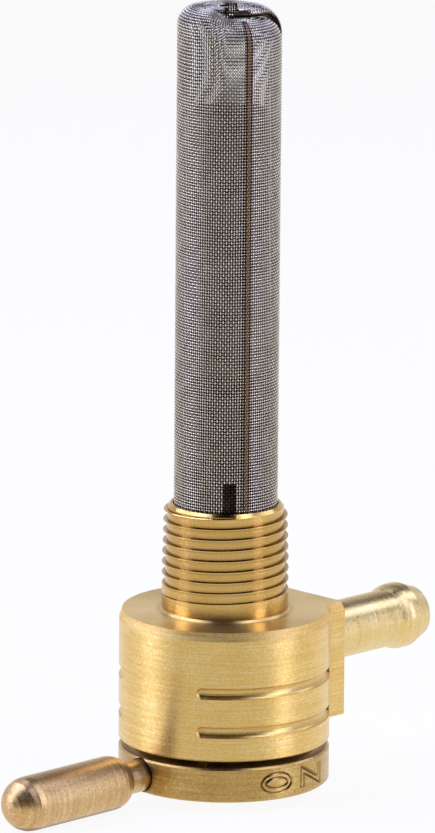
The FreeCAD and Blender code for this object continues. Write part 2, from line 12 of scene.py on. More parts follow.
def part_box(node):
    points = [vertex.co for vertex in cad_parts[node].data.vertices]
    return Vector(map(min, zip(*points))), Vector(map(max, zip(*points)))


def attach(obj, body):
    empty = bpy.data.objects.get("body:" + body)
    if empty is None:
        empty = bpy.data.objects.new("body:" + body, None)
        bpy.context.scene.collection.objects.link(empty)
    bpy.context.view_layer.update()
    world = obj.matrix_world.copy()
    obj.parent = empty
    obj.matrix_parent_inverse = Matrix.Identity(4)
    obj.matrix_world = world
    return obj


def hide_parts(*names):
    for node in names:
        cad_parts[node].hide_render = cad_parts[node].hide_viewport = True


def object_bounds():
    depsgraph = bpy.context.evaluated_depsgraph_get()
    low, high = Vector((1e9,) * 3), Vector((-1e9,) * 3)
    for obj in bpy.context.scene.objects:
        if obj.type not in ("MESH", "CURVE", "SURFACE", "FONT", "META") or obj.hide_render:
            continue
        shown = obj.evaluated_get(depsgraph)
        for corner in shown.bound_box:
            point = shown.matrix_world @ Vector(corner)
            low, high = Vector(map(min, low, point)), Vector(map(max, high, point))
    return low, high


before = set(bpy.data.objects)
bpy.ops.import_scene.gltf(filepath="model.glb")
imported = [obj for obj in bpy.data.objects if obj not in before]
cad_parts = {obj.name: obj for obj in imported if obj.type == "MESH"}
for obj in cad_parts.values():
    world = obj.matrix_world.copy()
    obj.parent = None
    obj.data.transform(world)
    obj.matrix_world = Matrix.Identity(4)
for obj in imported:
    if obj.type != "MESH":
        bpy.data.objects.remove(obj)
cad_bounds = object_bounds()

MM = 0.001
SCENE = bpy.context.scene

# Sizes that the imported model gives
body_low, body_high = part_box("valve_body")
knob_low, knob_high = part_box("knob_ring")
screen_low, screen_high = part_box("filter_screen")
barb_low, barb_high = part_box("outlet_barb")
lever_low, lever_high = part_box("lever_handle")
BODY_RADIUS = -body_low.x
RING_FOOT = knob_low.z
RING_HEIGHT = 4.7 * MM
RING_TOP = RING_FOOT + RING_HEIGHT
SPIGOT_TOP = body_high.z
SCREEN_RADIUS = -screen_low.x


# Node helpers

def linear(hex_code):
    """An sRGB hex colour as linear red, green, blue and alpha."""
    channels = [int(hex_code[i:i + 2], 16) / 255 for i in (1, 3, 5)]
    return [c / 12.92 if c <= 0.04045 else ((c + 0.055) / 1.055) ** 2.4 for c in channels] + [1.0]


def feed(tree, node, inputs):
    """Gives a node's inputs their values, or links from other nodes' sockets."""
    for key, value in inputs.items():
        if isinstance(value, bpy.types.NodeSocket):
            tree.links.new(value, node.inputs[key])
        else:
            node.inputs[key].default_value = value


def add(tree, kind, settings=None, inputs=None):
    """Adds a node with its settings and inputs."""
    made = tree.nodes.new(kind)
    for name, value in (settings or {}).items():
        setattr(made, name, value)
    feed(tree, made, inputs or {})
    return made


def calc(tree, operation, *values, **settings):
    """A maths node on numbers or sockets, as its result's socket."""
    made = add(tree, "ShaderNodeMath", {"operation": operation, **settings}, dict(enumerate(values)))
    return made.outputs[0]


def vectors(tree, operation, *values, result="Vector"):
    """A vector maths node, as its result's socket."""
    made = add(tree, "ShaderNodeVectorMath", {"operation": operation}, dict(enumerate(values)))
    return made.outputs[result]


def stretch(tree, value, low, high, to_low=0.0, to_high=1.0, kind="LINEAR"):
    """A value's range laid over another range, as a socket."""
    made = add(tree, "ShaderNodeMapRange", {"interpolation_type": kind},
               {"Value": value, "From Min": low, "From Max": high, "To Min": to_low, "To Max": to_high})
    return made.outputs[0]


def blend(tree, share, first, second):
    """Two numbers mixed by a share, as a socket."""
    return add(tree, "ShaderNodeMix", {"data_type": "FLOAT"}, {0: share, 2: first, 3: second}).outputs[0]


def tint(tree, share, first, second, kind="MIX"):
    """Two colours mixed by a share, as a socket."""
    made = add(tree, "ShaderNodeMix", {"data_type": "RGBA", "blend_type": kind}, {0: share, 6: first, 7: second})
    return made.outputs[2]


def noise(tree, place, size, detail=2.0):
    """Noise with features of about one size, as a socket from 0 to 1."""
    made = add(tree, "ShaderNodeTexNoise", inputs={"Vector": place, "Scale": 1 / size, "Detail": detail})
    return made.outputs["Fac"]


def bump(tree, height, depth_mm, under=None):
    """A bump of a given depth, on top of another bump where there is one, as a socket."""
    made = add(tree, "ShaderNodeBump", inputs={"Strength": 1.0, "Distance": depth_mm * MM, "Height": height})
    if under:
        feed(tree, made, {"Normal": under})
    return made.outputs["Normal"]


def tone_ramp(tree, factor, tones):
    """A colour ramp through (position, hex) stops, as a socket."""
    ramp = add(tree, "ShaderNodeValToRGB", inputs={"Fac": factor})
    stops = ramp.color_ramp.elements
    for position, hex_code in tones[2:]:
        stops.new(position)
    for stop, (position, hex_code) in zip(stops, sorted(tones)):
        stop.position = position
        stop.color = linear(hex_code)
    return ramp.outputs["Color"]


def three(low, middle, high):
    """The stops of an even ramp through three tones."""
    return [(0.0, low), (0.5, middle), (1.0, high)]


def away_from_axis(tree, place):
    """The level direction straight out from the tap's axis, as a socket."""
    return vectors(tree, "NORMALIZE", vectors(tree, "MULTIPLY", place, (1.0, 1.0, 0.0)))


def zone(tree, place, radius, low, high):
    """1 for points outside a radius and between two heights, else 0, as a socket."""
    parts = add(tree, "ShaderNodeSeparateXYZ", inputs={0: place}).outputs
    reach = vectors(tree, "LENGTH", vectors(tree, "MULTIPLY", place, (1.0, 1.0, 0.0)), result="Value")
    between = calc(tree, "MULTIPLY", calc(tree, "GREATER_THAN", parts["Z"], low),
                   calc(tree, "LESS_THAN", parts["Z"], high))
    return calc(tree, "MULTIPLY", calc(tree, "GREATER_THAN", reach, radius), between)


def new_material(name):
    """A new material, its node tree and its shader."""
    material = bpy.data.materials.new(name)
    material.use_nodes = True
    tree = material.node_tree
    return material, tree, tree.nodes["Principled BSDF"]


# Materials

# What the turned metals have in common
PIT_SHARE = 0.55
CLOUD_SHARE = 0.15
CLOUD_SIZE = 4.0 * MM
TONE_RANGE = (0.36, 0.64)
ROUGH_RANGE = (0.3, 0.7)
ROUGH_BELOW = 0.07
ROUGH_ABOVE = 0.09
# Painted shade: where ambient occlusion finds a crevice, the base colour is darkened toward the crevice colour
CREVICE_REACH = 1.1 * MM
CREVICE_RANGE = (0.35, 0.95)
TURNED_ROTATION = 0.25
FILM_ROUGHNESS = 0.4
FILM_IOR = 1.6
# The body's bevel, which the tool chattered on, and its spigot, cut by a sharper tool and tinted browner as
# painted shade
BEVEL_WIDTH = 1.5 * MM
BEVEL_FOOT = -1.2 * MM
BEVEL_TOP = -0.01 * MM
BEVEL_ROUGHER = 0.22
SPIGOT_FOOT = 0.4 * MM
SPIGOT_SMOOTHER = 0.14
SPIGOT_SHADE = "#a06c30"
SPIGOT_SHADE_SHARE = 0.3
FAR_ABOVE = 1.0
# What the even-grained surfaces have in common
GRAIN_RANGE = (0.34, 0.66)
GRAIN_ROUGH_BELOW = 0.06
GRAIN_ROUGH_ABOVE = 0.08
# How the woven wire's colour is painted with light and shade, and mottled
FACING_FULL = 0.85
CREST_LIGHT_RANGE = (0.22, 0.95)
MOTTLE_SIZE = 1.7 * MM
MOTTLE_SHARE = 0.3


def turned_metal(name, tones, crevice_shade, roughness, axis="Z", line_mm=0.22, streak_mm=9.0, pit_mm=0.3,
                 line_depth_mm=0.004, pit_depth_mm=0.006, anisotropy=0.75, film=0.4, body_zones=False):
    """A lathe-turned metal: fine lines round the axis, small pits of the bar, painted shade darkening its
    crevices, a film of wax.
    """
    material, tree, shader = new_material(name)
    place = add(tree, "ShaderNodeTexCoord").outputs["Object"]
    across = 1 / (streak_mm * MM)
    along = 1 / (line_mm * MM)
    scale = (along, across, across) if axis == "X" else (across, across, along)
    stretched = add(tree, "ShaderNodeMapping", inputs={"Vector": place, "Scale": scale}).outputs["Vector"]
    lines = noise(tree, stretched, 1.0, 3.0)
    pits = noise(tree, place, pit_mm * MM, 4.0)
    fine = blend(tree, PIT_SHARE, lines, pits)
    mixed = blend(tree, CLOUD_SHARE, fine, noise(tree, place, CLOUD_SIZE))
    colour = tone_ramp(tree, stretch(tree, mixed, *TONE_RANGE), tones)
    rough = stretch(tree, fine, *ROUGH_RANGE, roughness - ROUGH_BELOW, roughness + ROUGH_ABOVE)
    grain_pull = anisotropy
    if body_zones:
        bevel = zone(tree, place, BODY_RADIUS - BEVEL_WIDTH, BEVEL_FOOT, BEVEL_TOP)
        spigot = zone(tree, place, 0.0, SPIGOT_FOOT, FAR_ABOVE)
        # Painted shade: the spigot's colour is pulled toward a darker brown
        spigot_shade = calc(tree, "MULTIPLY", spigot, SPIGOT_SHADE_SHARE)
        colour = tint(tree, spigot_shade, colour, linear(SPIGOT_SHADE))
        rougher = calc(tree, "MULTIPLY_ADD", bevel, BEVEL_ROUGHER, rough)
        rough = calc(tree, "MULTIPLY_ADD", spigot, -SPIGOT_SMOOTHER, rougher)
        grain_pull = calc(tree, "MULTIPLY_ADD", bevel, -anisotropy, anisotropy)
        film = calc(tree, "MULTIPLY_ADD", spigot, -film, film)
    # Painted shade in the crevices, from ambient occlusion
    shade = add(tree, "ShaderNodeAmbientOcclusion", {"samples": 8}, {"Distance": CREVICE_REACH}).outputs["AO"]
    tangent = add(tree, "ShaderNodeTangent", {"direction_type": "RADIAL", "axis": axis}).outputs["Tangent"]
    feed(tree, shader, {
        "Base Color": tint(tree, stretch(tree, shade, *CREVICE_RANGE), linear(crevice_shade), colour),
        "Metallic": 1.0, "Roughness": rough, "Anisotropic": grain_pull, "Anisotropic Rotation": TURNED_ROTATION,
        "Tangent": tangent, "Normal": bump(tree, pits, pit_depth_mm, bump(tree, lines, line_depth_mm)),
        "Coat Weight": film, "Coat Roughness": FILM_ROUGHNESS, "Coat IOR": FILM_IOR})
    return material


def plain_solid(name, tones, roughness, grain_mm, grain_depth_mm, metallic=0.0, sheen=0.0):
    """A surface with an even grain, such as moulded rubber, a cut gasket or ground steel."""
    material, tree, shader = new_material(name)
    place = add(tree, "ShaderNodeTexCoord").outputs["Object"]
    grain = noise(tree, place, grain_mm * MM, 3.0)
    feed(tree, shader, {
        "Base Color": tone_ramp(tree, stretch(tree, grain, *GRAIN_RANGE), tones),
        "Roughness": stretch(tree, grain, 0.0, 1.0, roughness - GRAIN_ROUGH_BELOW, roughness + GRAIN_ROUGH_ABOVE),
        "Normal": bump(tree, grain, grain_depth_mm), "Metallic": metallic, "Sheen Weight": sheen})
    return material


def woven_wire(name, tones, roughness):
    """Drawn wire in a weave, with painted light: a painted highlight where it crosses over, painted brown shade
    where it dips and on its sides that face neither outward nor up.
    """
    material, tree, shader = new_material(name)
    where = add(tree, "ShaderNodeTexCoord").outputs
    facing = vectors(tree, "DOT_PRODUCT", where["Normal"], away_from_axis(tree, where["Object"]), result="Value")
    upward = add(tree, "ShaderNodeSeparateXYZ", inputs={0: where["Normal"]}).outputs["Z"]
    # Painted shade on the wire's sides that face neither out from the axis nor up
    outer = stretch(tree, calc(tree, "MAXIMUM", facing, upward), 0.0, FACING_FULL, kind="SMOOTHSTEP")
    crest = add(tree, "ShaderNodeAttribute", {"attribute_name": "crest"}).outputs["Fac"]
    painted_light = calc(tree, "MULTIPLY", outer, stretch(tree, crest, *CREST_LIGHT_RANGE))
    grain = noise(tree, where["Object"], MOTTLE_SIZE)
    mottled = calc(tree, "MULTIPLY_ADD", grain, MOTTLE_SHARE, -MOTTLE_SHARE / 2)
    level = calc(tree, "ADD", painted_light, mottled, use_clamp=True)
    feed(tree, shader, {"Base Color": tone_ramp(tree, level, tones), "Metallic": 1.0, "Roughness": roughness})
    return material


# The second colour of each turned metal is the painted shade in its crevices
# Free-turning brass bar, lathe turned and lightly bead blasted: warm pale yellow with a fine speckle
TURNED_BRASS = turned_metal("turned_brass", three("#d8ad5b", "#e8c270", "#f4da9c"), "#63380c", 0.35,
                            film=0.35, body_zones=True)
# The same bar turned about the outlet's axis, a little finer and paler
BARB_BRASS = turned_metal("turned_brass_outlet", three("#dbb76c", "#e9cb86", "#f4deaa"), "#63380c", 0.3, axis="X")
# Brass handled at the ring: deeper and browner, turned lines plainly seen
RING_BRASS = turned_metal("handled_ring_brass", three("#a47c38", "#c09a50", "#d8ba78"), "#4c2a08", 0.33,
                          line_depth_mm=0.006)
# Bronze bar with a satin finish: redder than the body, no sharp lines
LEVER_BRONZE = turned_metal("satin_lever_bronze", three("#bc9258", "#d2ac72", "#e5c996"), "#5e3812", 0.38,
                            axis="X", line_mm=0.5, line_depth_mm=0.002, pit_depth_mm=0.005, anisotropy=0.2)
# Brass of the stem inside the strainer: duller, and darker as painted shade under the strainer
STEM_BRASS = turned_metal("stem_brass_painted_shade", three("#6b5638", "#8f7652", "#b89f74"), "#2c1c0c", 0.36,
                          line_depth_mm=0.006)
# Drawn thin tube: smooth brass with long draw marks, its tones darkened as painted shade under the strainer
TUBE_BRASS = turned_metal("drawn_tube_brass", three("#5d5347", "#776b5d", "#958775"), "#2a2018", 0.32,
                          line_mm=0.6, line_depth_mm=0.002, pit_depth_mm=0.003)
# Stainless wire, woven: a painted highlight where the wires cross over, painted brown shade in the low places
WOVEN_STEEL = woven_wire("woven_stainless_wire",
                         [(0.0, "#33261b"), (0.3, "#6f5d49"), (0.62, "#cfbeaa"), (0.95, "#fffaf0")], 0.32)
# The welded seam of the same weave: heat-tinted brown
SEAM_STEEL = woven_wire("heat_tinted_seam",
                        [(0.0, "#2e1f15"), (0.3, "#503a2a"), (0.65, "#70533c"), (1.0, "#a07c58")], 0.42)
# Spot weld at the crown: blue to red temper colours
WELD_STEEL = plain_solid("tempered_spot_weld", three("#3a3440", "#6a3c30", "#9a6a4c"), 0.4, 0.5, 0.03,
                         metallic=1.0)
# Nitrile rubber, moulded: near black, soft shine
BLACK_RUBBER = plain_solid("moulded_nitrile_rubber", three("#141312", "#1f1d1b", "#2e2b28"), 0.55, 0.25, 0.004)
# Cork and rubber sheet, die cut: brown with a grain
GASKET_RUBBER = plain_solid("cut_gasket_sheet", three("#241c16", "#33271e", "#4a382a"), 0.7, 0.4, 0.01, sheen=0.2)
# Ground steel pins and balls: bright, nearly polished
PIN_STEEL = plain_solid("ground_pin_steel", three("#9a9b9c", "#b4b5b6", "#cccdce"), 0.2, 0.3, 0.001, metallic=1.0)
# Blued spring steel: dark grey with a light film of oil
SPRING_STEEL = plain_solid("oiled_spring_steel", three("#54565a", "#6c6e72", "#8c8e92"), 0.28, 0.3, 0.001,
                           metallic=1.0)
# Acetal rotor: moulded, milky, waxy shine
ROTOR_PLASTIC = plain_solid("moulded_acetal", three("#d6d2c6", "#e2dfd4", "#eeebe2"), 0.4, 0.6, 0.002)


# Mesh helpers

JOIN_DISTANCE = 0.002 * MM
SHORTEST_EDGE = 0.001 * MM


def face_outward(mesh):
    """Turns a closed mesh's faces outwards."""
    form = bmesh.new()
    form.from_mesh(mesh)
    bmesh.ops.recalc_face_normals(form, faces=form.faces)
    form.to_mesh(mesh)
    form.free()


def finish_surface(piece, material, smooth_degrees=30):
    """Gives a piece its one material and smooth faces between its sharp edges."""
    piece.data.materials.clear()
    piece.data.materials.append(material)
    form = bmesh.new()
    form.from_mesh(piece.data)
    for face in form.faces:
        face.smooth = True
        face.material_index = 0
    limit = math.radians(smooth_degrees)
    for edge in form.edges:
        edge.smooth = len(edge.link_faces) == 2 and edge.calc_face_angle(0.0) < limit
    form.to_mesh(piece.data)
    form.free()


def add_object(name, data):
    """A new object in the scene."""
    made = bpy.data.objects.new(name, data)
    SCENE.collection.objects.link(made)
    return made


def mesh_object(name, vertices, faces, material, smooth_degrees=30):
    """An object from points and faces, with its normals outwards and sharp edges kept."""
    mesh = bpy.data.meshes.new(name)
    mesh.from_pydata(vertices, [], faces)
    face_outward(mesh)
    piece = add_object(name, mesh)
    finish_surface(piece, material, smooth_degrees)
    return piece


def ring_faces(rings, sides, closed=False):
    """Four-sided faces between neighbouring rings of points, each ring with as many points."""
    faces = []
    for ring in range(rings if closed else rings - 1):
        here, there = ring * sides, (ring + 1) % rings * sides
        for k in range(sides):
            n = (k + 1) % sides
            faces.append((here + k, here + n, there + n, there + k))
    return faces


def mark_crests(mesh, values):
    """Keeps on each point how far it stands out of the weave, which the wire's colour turns into painted
    highlight and shade.
    """
    mesh.attributes.new("crest", "FLOAT", "POINT").data.foreach_set("value", values)


def merged_copy(node, name):
    """A copy of a CAD node's mesh with its loose triangles joined."""
    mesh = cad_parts[node].data.copy()
    form = bmesh.new()
    form.from_mesh(mesh)
    bmesh.ops.remove_doubles(form, verts=form.verts, dist=JOIN_DISTANCE)
    bmesh.ops.dissolve_degenerate(form, edges=form.edges, dist=SHORTEST_EDGE)
    form.to_mesh(mesh)
    form.free()
    mesh.name = name
    return add_object(name, mesh)


def evaluated(piece):
    """Replaces a piece's mesh by what its modifiers make of it, and drops the modifiers."""
    graph = bpy.context.evaluated_depsgraph_get()
    mesh = bpy.data.meshes.new_from_object(piece.evaluated_get(graph), depsgraph=graph)
    piece.modifiers.clear()
    piece.data = mesh
    mesh.name = piece.name
    return piece


def cut(piece, cutter, crossing=False):
    """Cuts one closed mesh out of another, and removes the cutter."""
    step = piece.modifiers.new("cut", "BOOLEAN")
    step.operation = "DIFFERENCE"
    step.solver = "EXACT"
    step.use_self = crossing
    step.object = cutter
    bpy.context.view_layer.update()
    evaluated(piece)
    bpy.data.objects.remove(cutter)
    return piece


def node_group(name, inputs):
    """An empty Geometry Nodes tree with a geometry output and named inputs."""
    tree = bpy.data.node_groups.new(name, "GeometryNodeTree")
    tree.interface.new_socket("Geometry", in_out="OUTPUT", socket_type="NodeSocketGeometry")
    for socket, kind in inputs.items():
        tree.interface.new_socket(socket, in_out="INPUT", socket_type="NodeSocket" + kind)
    return tree


def sweep(tree, path, section, material):
    """Sweeps a section along a path, as real geometry in a material, to the tree's output."""
    swept = add(tree, "GeometryNodeCurveToMesh",
                inputs={"Curve": path, "Profile Curve": section, "Fill Caps": True})
    smoothed = add(tree, "GeometryNodeSetShadeSmooth", inputs={"Geometry": swept.outputs["Mesh"]})
    real = add(tree, "GeometryNodeRealizeInstances", inputs={"Geometry": smoothed.outputs["Geometry"]})
    dressed = add(tree, "GeometryNodeSetMaterial",
                  inputs={"Geometry": real.outputs["Geometry"], "Material": material})
    add(tree, "NodeGroupOutput", inputs={"Geometry": dressed.outputs["Geometry"]})


def from_tree(name, tree, values, start=None):
    """Runs a Geometry Nodes tree on a start object and keeps the plain mesh that it makes."""
    piece = start or add_object(name, bpy.data.meshes.new(name))
    grown = piece.modifiers.new("grown", "NODES")
    grown.node_group = tree
    for item in tree.interface.items_tree:
        if item.in_out == "INPUT" and item.name in values:
            grown[item.identifier] = values[item.name]
    bpy.context.view_layer.update()
    return evaluated(piece)


def settle(piece, body, finish_slot, *nodes):
    """Puts a finished piece on its body, and lets it stand for CAD nodes. Its finish_slot is not used."""
    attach(piece, body)
    if nodes:
        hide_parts(*nodes)
    return piece


# Taper pipe thread on the spigot

THREAD_PITCH = 1.47 * MM
THREAD_DEPTH = 1.13 * MM
THREAD_FOOT = 2.3 * MM
THREAD_TAPER = 1 / 16
THREAD_CREST_FLAT = 0.12 * MM
THREAD_ROOT_FLAT = 0.12 * MM
TOOL_CLEARANCE = 0.5 * MM
TOOL_PAST_TOP = 1.0 * MM
TOOL_STEPS = 120
TOOL_CORNERS = 6
CREST_RADIUS_AT_TOP = 8.335 * MM
RUN_OUT_SHARE = 0.06
BODY_SMOOTH_DEGREES = 17


def thread_tree():
    """Geometry Nodes: a V-shaped tool swept along a tapering screw line, drawn outwards at its start."""
    numbers = ("Turns", "Foot radius", "Top radius", "Height", "Foot height", "Half mouth", "Half root", "Depth",
               "Overhang", "Run-out")
    tree = node_group("thread tool", {**dict.fromkeys(numbers, "Float"), "Material": "Material"})
    given = add(tree, "NodeGroupInput").outputs
    spiral = add(tree, "GeometryNodeCurveSpiral",
                 inputs={"Resolution": TOOL_STEPS, "Rotations": given["Turns"],
                         "Start Radius": given["Foot radius"], "End Radius": given["Top radius"],
                         "Height": given["Height"], "Reverse": True})
    factor = add(tree, "GeometryNodeSplineParameter").outputs["Factor"]
    lift = stretch(tree, factor, 0.0, RUN_OUT_SHARE, given["Run-out"], 0.0, "SMOOTHSTEP")
    place = add(tree, "GeometryNodeInputPosition").outputs["Position"]
    push = add(tree, "ShaderNodeVectorMath", {"operation": "SCALE"},
               {0: away_from_axis(tree, place), "Scale": lift})
    rise = add(tree, "ShaderNodeCombineXYZ", inputs={"Z": given["Foot height"]})
    offset = vectors(tree, "ADD", push.outputs["Vector"], rise.outputs["Vector"])
    moved = add(tree, "GeometryNodeSetPosition", inputs={"Geometry": spiral.outputs["Curve"], "Offset": offset})
    upright = add(tree, "GeometryNodeSetCurveNormal", {"mode": "Z_UP"}, {"Curve": moved.outputs["Geometry"]})

    def negative(socket):
        return calc(tree, "MULTIPLY", socket, -1.0)

    half = [(given["Half mouth"], negative(given["Overhang"])), (given["Half mouth"], 0.0),
            (given["Half root"], given["Depth"])]
    corners = [(negative(across), inward) for across, inward in half] + half[::-1]
    line = add(tree, "GeometryNodeCurvePrimitiveLine", {"mode": "POINTS"})
    outline = add(tree, "GeometryNodeResampleCurve",
                  inputs={"Curve": line.outputs["Curve"], "Count": TOOL_CORNERS})
    index = add(tree, "GeometryNodeInputIndex").outputs["Index"]
    chosen = None
    for number, (across, inward) in enumerate(corners):
        spot = add(tree, "ShaderNodeCombineXYZ", inputs={"X": inward, "Y": across}).outputs["Vector"]
        if chosen is None:
            chosen = spot
            continue
        is_here = add(tree, "FunctionNodeCompare", {"data_type": "INT", "operation": "EQUAL"},
                      {2: index, 3: number})
        pick = add(tree, "GeometryNodeSwitch", {"input_type": "VECTOR"},
                   {"Switch": is_here.outputs["Result"], "False": chosen, "True": spot})
        chosen = pick.outputs["Output"]
    shaped = add(tree, "GeometryNodeSetPosition",
                 inputs={"Geometry": outline.outputs["Curve"], "Position": chosen})
    closed = add(tree, "GeometryNodeSetSplineCyclic",
                 inputs={"Geometry": shaped.outputs["Geometry"], "Cyclic": True})
    sweep(tree, upright.outputs["Curve"], closed.outputs["Geometry"], given["Material"])
    return tree


def thread_tool():
    """The whole path of the threading tool, as one closed solid."""
    height = SPIGOT_TOP + TOOL_PAST_TOP - THREAD_FOOT
    foot_radius = CREST_RADIUS_AT_TOP + (SPIGOT_TOP - THREAD_FOOT) * THREAD_TAPER / 2
    top_radius = CREST_RADIUS_AT_TOP - TOOL_PAST_TOP * THREAD_TAPER / 2
    tool = from_tree("thread_tool", thread_tree(), {
        "Turns": height / THREAD_PITCH, "Foot radius": foot_radius, "Top radius": top_radius,
        "Height": height, "Foot height": THREAD_FOOT, "Half mouth": (THREAD_PITCH - THREAD_CREST_FLAT) / 2,
        "Half root": THREAD_ROOT_FLAT / 2, "Depth": THREAD_DEPTH, "Overhang": TOOL_CLEARANCE,
        "Run-out": THREAD_DEPTH + 2 * TOOL_CLEARANCE, "Material": TURNED_BRASS})
    face_outward(tool.data)
    return tool


body = merged_copy("valve_body", "turned_valve_body")
body = cut(body, thread_tool())
finish_surface(body, TURNED_BRASS, BODY_SMOOTH_DEGREES)
settle(body, "body", "turned_brass", "valve_body")


# Engraved positions on the ring

LETTER_HEIGHT = 2.1 * MM
LETTER_WIDTH = 4.0 * MM
STROKE_WIDTH = 1.04 * MM
STROKE_DEPTH = 0.2 * MM
STROKE_CLEARANCE = 0.3 * MM
STROKE_END_SHARE = 0.6
SHARPEST_MITRE = 0.5
LAND_WIDTH = 0.26 * MM
LAND_DROP = 0.03 * MM
LETTER_GAP_DEGREES = 26.0
LETTER_MIDDLE = (RING_FOOT + RING_TOP) / 2
ARC_STEPS = 28
WORDS = {"ON": -92.0, "OFF": 0.0, "RES": 90.0}
RING_SMOOTH_DEGREES = 28


def ellipse_stroke(centre_u=0.5, centre_v=0.5, half_u=0.5, half_v=0.5, start=0, end=360, steps=ARC_STEPS):
    """Points round an ellipse in a letter's own unit square."""
    points = []
    for step in range(steps if end - start == 360 else steps + 1):
        turn = math.radians(start + (end - start) * step / steps)
        points.append((centre_u + half_u * math.cos(turn), centre_v + half_v * math.sin(turn)))
    return points


# Each letter's strokes in its own unit square: whether the stroke is closed, and its points
LETTERS = {
    "O": [(True, ellipse_stroke())],
    "N": [(False, [(0.0, 0.0), (0.0, 1.0), (1.0, 0.0), (1.0, 1.0)])],
    "F": [(False, [(0.0, 0.0), (0.0, 1.0), (1.0, 1.0)]), (False, [(0.0, 0.52), (0.75, 0.52)])],
    "R": [(False, [(0.0, 0.0), (0.0, 1.0), (0.6, 1.0)] + ellipse_stroke(0.6, 0.75, 0.36, 0.25, 90, -90, 12)
           + [(0.0, 0.5)]), (False, [(0.5, 0.5), (1.0, 0.0)])],
    "E": [(False, [(1.0, 1.0), (0.0, 1.0), (0.0, 0.0), (1.0, 0.0)]), (False, [(0.0, 0.5), (0.8, 0.5)])],
    "S": [(False, ellipse_stroke(0.5, 0.75, 0.46, 0.25, 20, 270, 16)
           + ellipse_stroke(0.5, 0.25, 0.46, 0.25, 90, -160, 16)[1:])],
}


def stroke_solid(points, closed, degrees):
    """A graver's cut along a line of (u, v) points: two grooves with a low ridge between, bent round the ring."""
    half, land = STROKE_WIDTH / 2, LAND_WIDTH / 2
    deepest = (half + land) / 2
    section = [(-half, STROKE_CLEARANCE), (-half, 0.0), (-deepest, -STROKE_DEPTH), (-land, -LAND_DROP),
               (land, -LAND_DROP), (deepest, -STROKE_DEPTH), (half, 0.0), (half, STROKE_CLEARANCE)]
    count, width = len(points), len(section)
    vertices = []
    flat = [Vector(((u - 0.5) * LETTER_WIDTH, (v - 0.5) * LETTER_HEIGHT)) for u, v in points]
    for index, spot in enumerate(flat):
        before = flat[index - 1] if closed or index else spot
        after = flat[(index + 1) % count] if closed or index < count - 1 else spot
        ahead = (after - spot).normalized() if after != spot else (spot - before).normalized()
        behind = (spot - before).normalized() if before != spot else ahead
        along = (ahead + behind).normalized()
        side = Vector((-along.y, along.x))
        mitre = 1 / max(SHARPEST_MITRE, along.dot(ahead))
        if not closed and index == 0:
            spot = spot - along * half * STROKE_END_SHARE
        if not closed and index == count - 1:
            spot = spot + along * half * STROKE_END_SHARE
        for across, out in section:
            plan = spot + side * across * mitre
            turn = math.radians(degrees) + plan.x / BODY_RADIUS
            radius = BODY_RADIUS + out
            vertices.append((radius * math.cos(turn), radius * math.sin(turn), LETTER_MIDDLE + plan.y))
    faces = ring_faces(count, width, closed)
    if not closed:
        faces.append(tuple(range(width - 1, -1, -1)))
        faces.append(tuple((count - 1) * width + k for k in range(width)))
    return mesh_object("graver_cut", vertices, faces, RING_BRASS)


def engrave(piece, word, middle_degrees):
    """Cuts a word into the ring, its letters spread evenly about an angle, upright."""
    first = middle_degrees - LETTER_GAP_DEGREES * (len(word) - 1) / 2
    for place, letter in enumerate(word):
        for closed, points in LETTERS[letter]:
            cut(piece, stroke_solid(points, closed, first + place * LETTER_GAP_DEGREES), crossing=True)


knob = merged_copy("knob_ring", "engraved_ring")
for word, degrees in WORDS.items():
    engrave(knob, word, degrees)
finish_surface(knob, RING_BRASS, RING_SMOOTH_DEGREES)
settle(knob, "knob", "ring_brass", "knob_ring")


# Woven strainer

WARP_COUNT = 126
WEFT_PITCH = 0.4 * MM
WIRE_RADIUS = 0.092 * MM
WIRE_SIDES = 4
WEAVE_LIFT = 0.085 * MM
SHOULDER_RADIUS = 3.05 * MM
SHOULDER_SLOPE = 0.55 * MM
CROWN_HOLE = 0.9 * MM
# Past the shoulder every other warp wire ends, and further in only one in four goes on
HALF_WARP_FROM = 0.2 * MM
QUARTER_WARP_FROM = 1.5 * MM
# The fold over the crown: the sleeve behind its line lies one step higher. Its line is (side, front) in mm
FOLD_STEP = 1.1 * MM
FOLD_BLEND = 9.0 * MM
FOLD_ANGLE = math.radians(-45.5)
FOLD_SIDE = -0.1 * MM
FOLD_LINE = [(-0.2, 3.0), (2.6, 2.9), (4.0, 2.0), (4.7, 1.0), (5.3, 0.2), (6.9, 0.2)]
DOME_BLEND = 2.6 * MM
CREASE_WIDTH = 0.85 * MM
CREASE_BACK = -2.0 * MM
CREASE_FRONT = 3.4 * MM
CREASE_MARGIN = 0.6 * MM
TUCK_REACH = 0.5 * MM
# A wire that moves further than this between two points has jumped from one layer of the fold to the other
LAYER_JUMP = 2.2 * WEFT_PITCH
LAYER_RISE = 1.6 * WEFT_PITCH
ROLL_RADIUS = 0.55 * MM
ROLL_START_SHARE = 0.8
ROLL_END = 5.9 * MM
ROLL_THINNING = 0.6
ROLL_STEPS = 46
ROLL_SIDES = 14
ROLL_CREST_RISE = 0.1
ROLL_CREST_SHARE = 0.55
ROLL_CREST_TILT = 0.7
